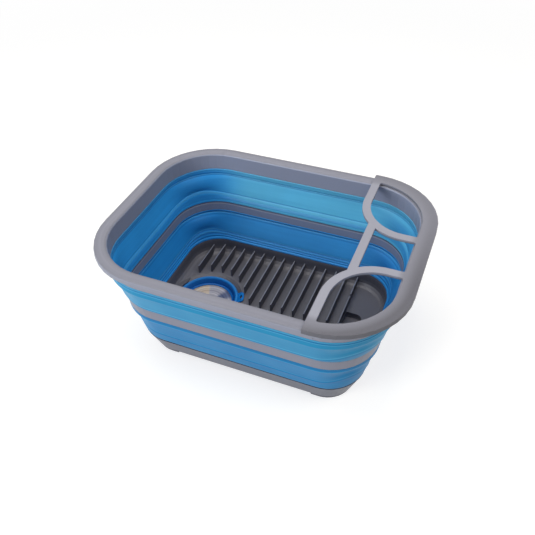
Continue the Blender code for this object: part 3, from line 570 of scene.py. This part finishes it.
lower_rubber = rubber_finish(
    "lower_rubber",
    outside=linear(8, 126, 180),
    # The inside colour is painted light, lighter and bluer than the outside
    inside=linear(38, 138, 208),
    painted_sheen=linear(60, 146, 208),
    painted_highlight=linear(104, 182, 220),
    deep_tone_and_painted_shade=linear(10, 72, 142),
    corner_shade_height=66.0,
    outer_painted_lines=[
        (84.2, 0.8, 0.8, -0.3), (81.2, 0.4, 0.6, 0.25), (79.6, 0.3, 0.5, -0.3),
        (53.6, 0.3, 0.5, 0.25), (50.8, 0.4, 0.5, -0.45), (48.6, 0.3, 0.5, -0.3),
    ],
    inner_painted_lines=[
        (84.4, 0.9, 0.8, -0.5), (82.0, 0.4, 0.4, 0.35), (79.4, 0.3, 0.5, -0.35),
        (53.4, 0.6, 0.5, 0.3), (51.7, 0.3, 0.4, -0.6), (49.8, 0.4, 0.5, 0.3),
        (48.2, 0.3, 0.4, -0.6), (45.8, 0.3, 0.4, -0.55), (43.2, 0.6, 0.6, -0.4),
    ],
)
for wall, rubber in ((upper_wall, upper_rubber), (lower_wall, lower_rubber)):
    wall.data.materials.append(rubber.material)
    print(wall.name, "wears", rubber.material.name)

# %% [markdown]
# The rim is filled polypropylene with a fine spark-eroded grain: matt, slightly blue,
# with soft differences in gloss. Its flange gets a painted highlight on the crown and
# painted shade where it rolls over at the outer edge, and its upright walls are painted
# lighter and bluer than the flange, most where they face the middle, as painted light.
# All of these follow the outline, so the masks use the inset from the rim's edge, worked
# out in nodes as it was for the walls.

# %% Rim plastic
CLOUD_SIZE = 70 * MM
GRAIN_SIZE = 0.6 * MM
GRAIN_DEPTH = 0.05 * MM


def outline_inset(surface, x, y):
    # How far a point lies inside the rim's outline, in metres
    beyond_x = (x.maths("ABSOLUTE") - CORNER_X).maths("MAXIMUM", 0.0)
    beyond_y = (y.maths("ABSOLUTE") - CORNER_Y).maths("MAXIMUM", 0.0)
    return CORNER_RADIUS - length_of(beyond_x, beyond_y)


def faces_inwards(surface, x, y, out_x, out_y):
    # 1 where a wall faces the middle of the basin, 0 where it faces out
    edge = 4 * MM
    return 1.0 - surface.step(x * out_x + y * out_y, -edge, edge)


def flange_tone(surface, clouds, inset):
    tone = surface.mix(clouds, linear(131, 131, 141), linear(125, 125, 135))
    # Painted highlight on the crown, painted shade where the flange rolls over at its
    # outer edge
    painted_crown_highlight = surface.band(inset, 9.5 * MM, 1.5 * MM, 3.5 * MM)
    tone = surface.mix(painted_crown_highlight * 0.2, tone, linear(160, 160, 171))
    painted_edge_shade = 1.0 - surface.step(inset, 0.0, 4.5 * MM)
    return surface.mix(painted_edge_shade * 0.5, tone, linear(96, 95, 101))


def rim_surface():
    surface = Surface("rim_plastic")
    x, y, _ = surface.axes()
    out_x, out_y, out_z = surface.facing()
    upright = 1.0 - surface.step(out_z.maths("ABSOLUTE"), 0.5, 0.9)
    inside = faces_inwards(surface, x, y, out_x, out_y)
    clouds = surface.noise(CLOUD_SIZE, 3.0)
    flange = flange_tone(surface, clouds, outline_inset(surface, x, y))
    # Painted light: the upright walls are lighter and bluer than the flange, most where
    # they face the middle
    wall = surface.mix(inside, linear(138, 140, 154), linear(141, 146, 164))
    surface.drive("Base Color", surface.mix(upright, flange, wall))
    surface.drive("Roughness", clouds * 0.12 + 0.4)
    surface.bump(surface.noise(GRAIN_SIZE, 3.0), GRAIN_DEPTH)
    return surface


dress("rim_frame", rim_surface())

# %% [markdown]
# The organiser is of the same plastic, a shade lighter and duller. Its outer band is
# slightly domed, and painted shade makes that band darker, most towards its outer edge
# and towards the front; painted shade also darkens its sides. The imported plate is flat
# on top, so the dome is a bump: its height falls off over the last 16 mm to the edge,
# measured on the same rounded outline as the rim's.

# %% Organiser plastic
DOME_EDGE = -2 * MM
DOME_END = 14 * MM
DOME_HEIGHT = 1.1 * MM
ORGANISER_SIDE = (171.2 * MM, 172.8 * MM)


def organiser_surface():
    surface = Surface("organiser_plastic", shine=0.25)
    x, y, z = surface.axes()
    inset = outline_inset(surface, x, y)
    outer = 1.0 - surface.step(inset, DOME_EDGE, DOME_END)
    band = 1.0 - surface.step(inset, 13 * MM, 22 * MM)
    towards_front = surface.step(x * 0.8 - y * 0.6, 80 * MM, 240 * MM)
    clouds = surface.noise(CLOUD_SIZE, 3.0)
    grain = surface.noise(GRAIN_SIZE, 3.0)
    tone = surface.mix(clouds, linear(156, 156, 166), linear(150, 150, 160))
    # Painted shade: the outer band darker, most at its outer edge and towards the front
    shade = 0.4 * band + outer * (0.2 + 0.4 * towards_front) + 0.25 * band * towards_front
    tone = surface.mix(shade, tone, linear(94, 93, 99))
    # Painted shade on the sides
    side = 1.0 - surface.step(z, *ORGANISER_SIDE)
    tone = surface.mix(side * 0.8, tone, linear(92, 92, 99))
    tone = surface.mix(grain * 0.1, tone, linear(190, 190, 200))
    surface.drive("Base Color", tone)
    surface.drive("Roughness", clouds * 0.12 + 0.5)
    dome = 1.0 - outer * outer
    surface.bump(dome + grain * 0.04, DOME_HEIGHT)
    return surface


dress("cutlery_organiser", organiser_surface())

# %% [markdown]
# The middle ring is the same plastic as the rim, and shows from both sides. Its inside is
# painted darker and bluer, as painted shade and painted blue light from the walls, with a
# painted shadow line under the lap of the upper wall and a painted highlight below that,
# where the ledge catches light. Heights are enough to place both lines, because the ring
# is level all round.

# %% Ring plastic
LAP_SHADE = (97.4 * MM, 98.0 * MM)
LEDGE_HEIGHT = 96.4 * MM


def ring_surface():
    surface = Surface("ring_plastic")
    x, y, z = surface.axes()
    out_x, out_y, _ = surface.facing()
    inside = faces_inwards(surface, x, y, out_x, out_y)
    clouds = surface.noise(CLOUD_SIZE, 3.0)
    outer = surface.mix(clouds, linear(130, 131, 145), linear(124, 125, 139))
    # The inside is painted darker and bluer: painted shade and painted blue light from
    # the walls
    inner = surface.mix(clouds, linear(110, 122, 148), linear(105, 116, 141))
    # Painted shadow under the lap of the upper wall
    inner = surface.mix(surface.step(z, *LAP_SHADE), inner, linear(72, 76, 90))
    # Painted highlight where the ledge catches light
    painted_ledge_highlight = surface.band(z, LEDGE_HEIGHT, 0.3 * MM, 0.5 * MM)
    inner = surface.mix(painted_ledge_highlight * 0.7, inner, linear(150, 150, 160))
    surface.drive("Base Color", surface.mix(inside, outer, inner))
    surface.drive("Roughness", clouds * 0.12 + 0.38)
    surface.bump(surface.noise(GRAIN_SIZE, 3.0), GRAIN_DEPTH)
    return surface


dress("middle_ring", ring_surface())

# %% [markdown]
# The base is darker and a little glossier, so that washing up slides over the ribs.
# Painted shade makes the steep wall of its dish and the sides of the ribs nearly black, a
# painted highlight lightens the crests of the ribs, and a ring that slopes down to the
# plug is darker. Outside, painted shade makes the skirt darker and bluer than the floor.
# A piece of one plastic gets one material here, and masks tell its parts apart, because a
# split into parts would show as seams.

# %% Base plastic
plate_low, plate_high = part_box("plug_plate")
PLATE_CENTRE = (plate_low + plate_high) / 2
DRAIN_X = PLATE_CENTRE.x
DISH_FOOT = (14.5 * MM, 17.0 * MM)
DISH_TOP = (41.0 * MM, 42.0 * MM)
DISH_EDGE = (41.0 * MM, 42.0 * MM)
RIB_ENDS = (46.0 * MM, 48.0 * MM)
RIB_CREST = (32.2 * MM, 33.0 * MM)
ABOVE_CREST = (34.0 * MM, 35.0 * MM)
PLUG_RING_RADIUS = 45.4 * MM
SKIRT_LEAN = 0.4027
SKIRT_FOOT_INSET = 51.65 * MM
print("drain at x", round(DRAIN_X, 4))


def dish_mask(surface, z, outline):
    high = 1.0 - surface.step(z, *DISH_TOP)
    return surface.step(z, *DISH_FOOT) * high * surface.step(outline, *DISH_EDGE)


def skirt_mask(surface, z, outline):
    # The skirt leans in on its way down: this is how far a point is inside it
    behind = outline + z * SKIRT_LEAN - SKIRT_FOOT_INSET
    return 1.0 - surface.step(behind, 0.9 * MM, 1.6 * MM)


def base_surface():
    surface = Surface("base_plastic")
    x, y, z = surface.axes()
    out_x, _, out_z = surface.facing()
    outline = outline_inset(surface, x, y)
    clouds = surface.noise(60 * MM, 3.0)
    tone = surface.mix(clouds, linear(104, 102, 108), linear(96, 95, 101))
    inside = dish_mask(surface, z, outline)
    upright = 1.0 - surface.step(out_z.maths("ABSOLUTE"), 0.15, 0.75)
    # Painted shade: the steep wall of the dish nearly black
    tone = surface.mix(upright * inside * 0.6, tone, linear(46, 48, 60))
    # Painted shade on the sides of the ribs
    painted_rib_shade = surface.step(out_x.maths("ABSOLUTE"), 0.7, 0.95)
    painted_rib_shade = painted_rib_shade * surface.step(outline, *RIB_ENDS)
    tone = surface.mix(painted_rib_shade * inside * 0.7, tone, linear(50, 50, 60))
    # Painted highlight along the crests of the ribs
    painted_crest_highlight = surface.step(z, *RIB_CREST) * surface.step(out_z, 0.6, 0.9)
    painted_crest_highlight = painted_crest_highlight * (1.0 - surface.step(z, *ABOVE_CREST))
    tone = surface.mix(painted_crest_highlight * 0.4, tone, linear(136, 142, 156))
    # A ring that slopes down to the plug is darker
    ring = surface.band(length_of(x - DRAIN_X, y), PLUG_RING_RADIUS, 2.4 * MM, 0.5 * MM)
    ring = ring * surface.step(z, 15.0 * MM, 17.0 * MM)
    tone = surface.mix(ring * 0.6, tone, linear(62, 62, 68))
    # Painted shade: the skirt darker and bluer than the floor
    tone = surface.mix(skirt_mask(surface, z, outline), tone, linear(88, 90, 103))
    surface.drive("Base Color", tone)
    surface.drive("Roughness", clouds * 0.14 + 0.34)
    surface.bump(surface.noise(0.7 * MM, 3.0), 0.06 * MM)
    return surface


dress("base_tray", base_surface())

# %% [markdown]
# The four feet are matt thermoplastic rubber, so that the basin doesn't slide. It
# has the least shine of all the greys, and a grain that lightens it a little.


# %% Foot rubber
def foot_surface():
    surface = Surface("foot_rubber")
    clouds = surface.noise(CLOUD_SIZE, 3.0)
    grain = surface.noise(GRAIN_SIZE, 3.0)
    patches = surface.step(clouds, 0.3, 0.7)
    tone = surface.mix(patches, linear(82, 84, 92), linear(76, 78, 86))
    surface.drive("Base Color", surface.mix(grain * 0.12, tone, linear(190, 190, 200)))
    surface.drive("Roughness", clouds * 0.12 + 0.54)
    surface.bump(grain, GRAIN_DEPTH)
    return surface


foot_rubber = foot_surface()
for corner in ("front_left", "front_right", "rear_left", "rear_right"):
    dress("foot_pad_" + corner, foot_rubber)

# %% [markdown]
# The plug is softer silicone than the walls and a deeper blue. It is turned round its
# middle, so its bead, its slope and the lip over the plate are all bands of one radius: a
# painted highlight along the bead, painted shade on the slope, and a darker lip.

# %% Plug rubber
PLUG_SLOPE_RADIUS = 36.4 * MM
PLUG_LIP_RADIUS = 34.0 * MM
PLUG_BEAD_RADIUS = 40.4 * MM


def plug_surface():
    surface = Surface("plug_rubber", shine=0.12)
    x, y, _ = surface.axes()
    radius = length_of(x - DRAIN_X, y)
    clouds = surface.noise(30 * MM, 3.0)
    tone = surface.mix(clouds, linear(20, 112, 186), linear(16, 104, 178))
    # Painted shade on the slope
    painted_slope_shade = surface.band(radius, PLUG_SLOPE_RADIUS, 0.8 * MM, 1.6 * MM)
    tone = surface.mix(painted_slope_shade * 0.45, tone, linear(12, 52, 128))
    # The lip over the plate is darker
    lip = surface.band(radius, PLUG_LIP_RADIUS, 1.0 * MM, 0.6 * MM)
    tone = surface.mix(lip * 0.5, tone, linear(8, 74, 146))
    # Painted highlight along the bead
    painted_bead_highlight = surface.band(radius, PLUG_BEAD_RADIUS, 0.3 * MM, 0.7 * MM)
    tone = surface.mix(painted_bead_highlight * 0.3, tone, linear(96, 168, 214))
    surface.drive("Base Color", tone)
    surface.drive("Roughness", clouds * 0.1 + 0.34)
    surface.bump(surface.noise(0.9 * MM, 2.0), 0.04 * MM)
    return surface


dress("drain_plug", plug_surface())

# %% [markdown]
# The plug's steel plate was turned on a lathe, so very fine rings run round its
# middle, and light gathers in fans that point at the centre. An anisotropic
# shader would make the fans by itself, but only under the right lamps, so here
# they are wedges of tint over two sizes of rings.

# %% Turned steel
FINE_RINGS = 2200.0
BROAD_RINGS = 330.0


def rings_round(surface, radius, rings_per_metre, detail, offset):
    # Noise along the radius alone, which makes rings
    along = surface.node("CombineXYZ", {}, [radius * rings_per_metre, offset, 0.0])
    return surface.node("TexNoise", {}, {"Vector": along, "Scale": 1.0, "Detail": detail})


def wedge(surface, angle, middle, half, blur):
    # Two opposite wedges of light, as rings turned on a lathe show them
    across = (angle - math.radians(middle)).maths("SINE").maths("ABSOLUTE")
    edge = math.sin(math.radians(half))
    return 1.0 - surface.step(across, edge, edge + blur)


def turned_steel():
    surface = Surface("turned_steel")
    around = surface.node("VectorMath", {"operation": "SUBTRACT"},
                          [surface.place, tuple(PLATE_CENTRE)])
    x, y, _ = surface.axes(around)
    radius = length_of(x, y)
    angle = y.maths("ARCTAN2", x)
    fine = rings_round(surface, radius, FINE_RINGS, 3.0, 0.0)
    broad = rings_round(surface, radius, BROAD_RINGS, 2.0, 5.0)
    turned = surface.step(broad * 0.65 + fine * 0.35, 0.32, 0.68)
    tone = surface.mix(turned, linear(132, 129, 136), linear(206, 200, 202))
    # Painted reflections: a warm gold glint wedge, and a cold blue wedge where the plate
    # reflects darker
    painted_gold_glint = wedge(surface, angle, middle=148.0, half=33.0, blur=0.12)
    warm = surface.mix(turned, linear(178, 154, 130), linear(236, 218, 194))
    tone = surface.mix(painted_gold_glint, tone, warm)
    blue = wedge(surface, angle, middle=48.0, half=6.0, blur=0.30)
    cold = surface.mix(turned, linear(74, 84, 112), linear(116, 124, 148))
    tone = surface.mix(blue, tone, cold)
    surface.drive("Base Color", tone)
    surface.drive("Metallic", 0.5 + 0.2 * blue)
    surface.drive("Roughness", fine * 0.2 + 0.3)
    surface.bump(fine, 0.12 * MM)
    return surface


dress("plug_plate", turned_steel())

# %% [markdown]
# The basin stands on white paper, as on a photographic table. Bright light on a
# white floor would spill onto the basin, so the paper is plain to everything but
# the camera, glass and mirrors: these see it as a glow that only the soft shadow
# under the basin darkens, and as plain white further out.

# %% Paper floor
PAPER_SIZE = 12
SHADOW_TINT = (0.48, 0.46, 0.38, 1.0)
PAPER_GLOW = (0.66, 0.67, 0.72, 1.0)
PAPER_FADE = (0.5, 1.6)


def seen_directly(surface):
    # 1 for the camera and for what mirrors and glass show, 0 for spilt light
    outs = surface.node("LightPath", {}, {}).socket.node.outputs
    rays = [Value(surface, outs[name + " Ray"])
            for name in ("Is Camera", "Is Glossy", "Is Transmission")]
    return rays[0].maths("MAXIMUM", rays[1]).maths("MAXIMUM", rays[2])


def paper_floor():
    deselect()
    bpy.ops.mesh.primitive_plane_add(size=PAPER_SIZE)
    floor = bpy.context.object
    floor.name = "paper_floor"
    surface = Surface("white_paper")
    plain = surface.node("BsdfDiffuse", {}, {"Color": (0.8, 0.8, 0.8, 1.0)})
    shade = surface.node("BsdfDiffuse", {}, {"Color": SHADOW_TINT})
    glow = surface.node("Emission", {}, {"Color": PAPER_GLOW, "Strength": 1.0})
    paper = surface.node("AddShader", {}, [shade, glow])
    # The lamps fade far from the basin, and there the paper stays white
    x, y, _ = surface.axes()
    away = surface.step(length_of(x, y), *PAPER_FADE)
    white = surface.node("Emission", {}, {"Color": (1.0, 1.0, 1.0, 1.0), "Strength": 1.0})
    paper = surface.node("MixShader", {}, [away, paper, white])
    both = surface.node("MixShader", {}, [seen_directly(surface), plain, paper])
    output = surface.tree.nodes["Material Output"]
    surface.tree.links.new(both.socket, output.inputs["Surface"])
    floor.data.materials.append(surface.material)
    return floor


floor = paper_floor()
print("paper", round(floor.dimensions.x, 2), "m wide")

# %% [markdown]
# Three soft lamps light the basin: the key lamp low over the front left, a wide
# one over the top, and a weaker, warmer one over the right side. One large lamp
# would leave the inside of the basin dark. The room is pale, fills the shadows a
# little, and shows as plain white behind the table and in the steel plate.

# %% Lamps and room
LAMP_AIM = Vector((0, 0, 80 * MM))
ROOM_TINT = (0.97, 0.98, 1.0, 1.0)


def soft_lamp(name, place, size, power, colour=(1, 1, 1)):
    light = bpy.data.lights.new(name, "AREA")
    light.shape = "SQUARE"
    light.size = size
    light.energy = power
    light.color = colour
    lamp = bpy.data.objects.new(name, light)
    bpy.context.scene.collection.objects.link(lamp)
    lamp.location = place
    aim = LAMP_AIM - Vector(place)
    lamp.rotation_euler = aim.to_track_quat("-Z", "Y").to_euler()
    print(name, power, "W at", place)


def pale_room(strength):
    # Surfaces are lit by a pale room; the camera and mirrors see it as white
    world = bpy.data.worlds.new("room")
    world.use_nodes = True
    tree = world.node_tree
    lit = tree.nodes["Background"]
    lit.inputs["Color"].default_value = ROOM_TINT
    lit.inputs["Strength"].default_value = strength
    white = tree.nodes.new("ShaderNodeBackground")
    white.inputs["Color"].default_value = (1, 1, 1, 1)
    path = tree.nodes.new("ShaderNodeLightPath")
    either = tree.nodes.new("ShaderNodeMath")
    either.operation = "MAXIMUM"
    both = tree.nodes.new("ShaderNodeMixShader")
    tree.links.new(path.outputs["Is Camera Ray"], either.inputs[0])
    tree.links.new(path.outputs["Is Glossy Ray"], either.inputs[1])
    tree.links.new(either.outputs[0], both.inputs[0])
    tree.links.new(lit.outputs[0], both.inputs[1])
    tree.links.new(white.outputs[0], both.inputs[2])
    tree.links.new(both.outputs[0], tree.nodes["World Output"].inputs["Surface"])
    bpy.context.scene.world = world
    print("room light", strength)


soft_lamp("key_lamp", (-1.0, -1.6, 0.95), 1.0, 28, (0.92, 0.96, 1.0))
soft_lamp("top_lamp", (-0.35, 0.0, 1.9), 1.4, 19)
soft_lamp("side_lamp", (1.2, -0.1, 1.7), 1.0, 15, (1.0, 0.97, 0.94))
pale_room(0.14)
bpy.context.scene.view_settings.view_transform = "Standard"
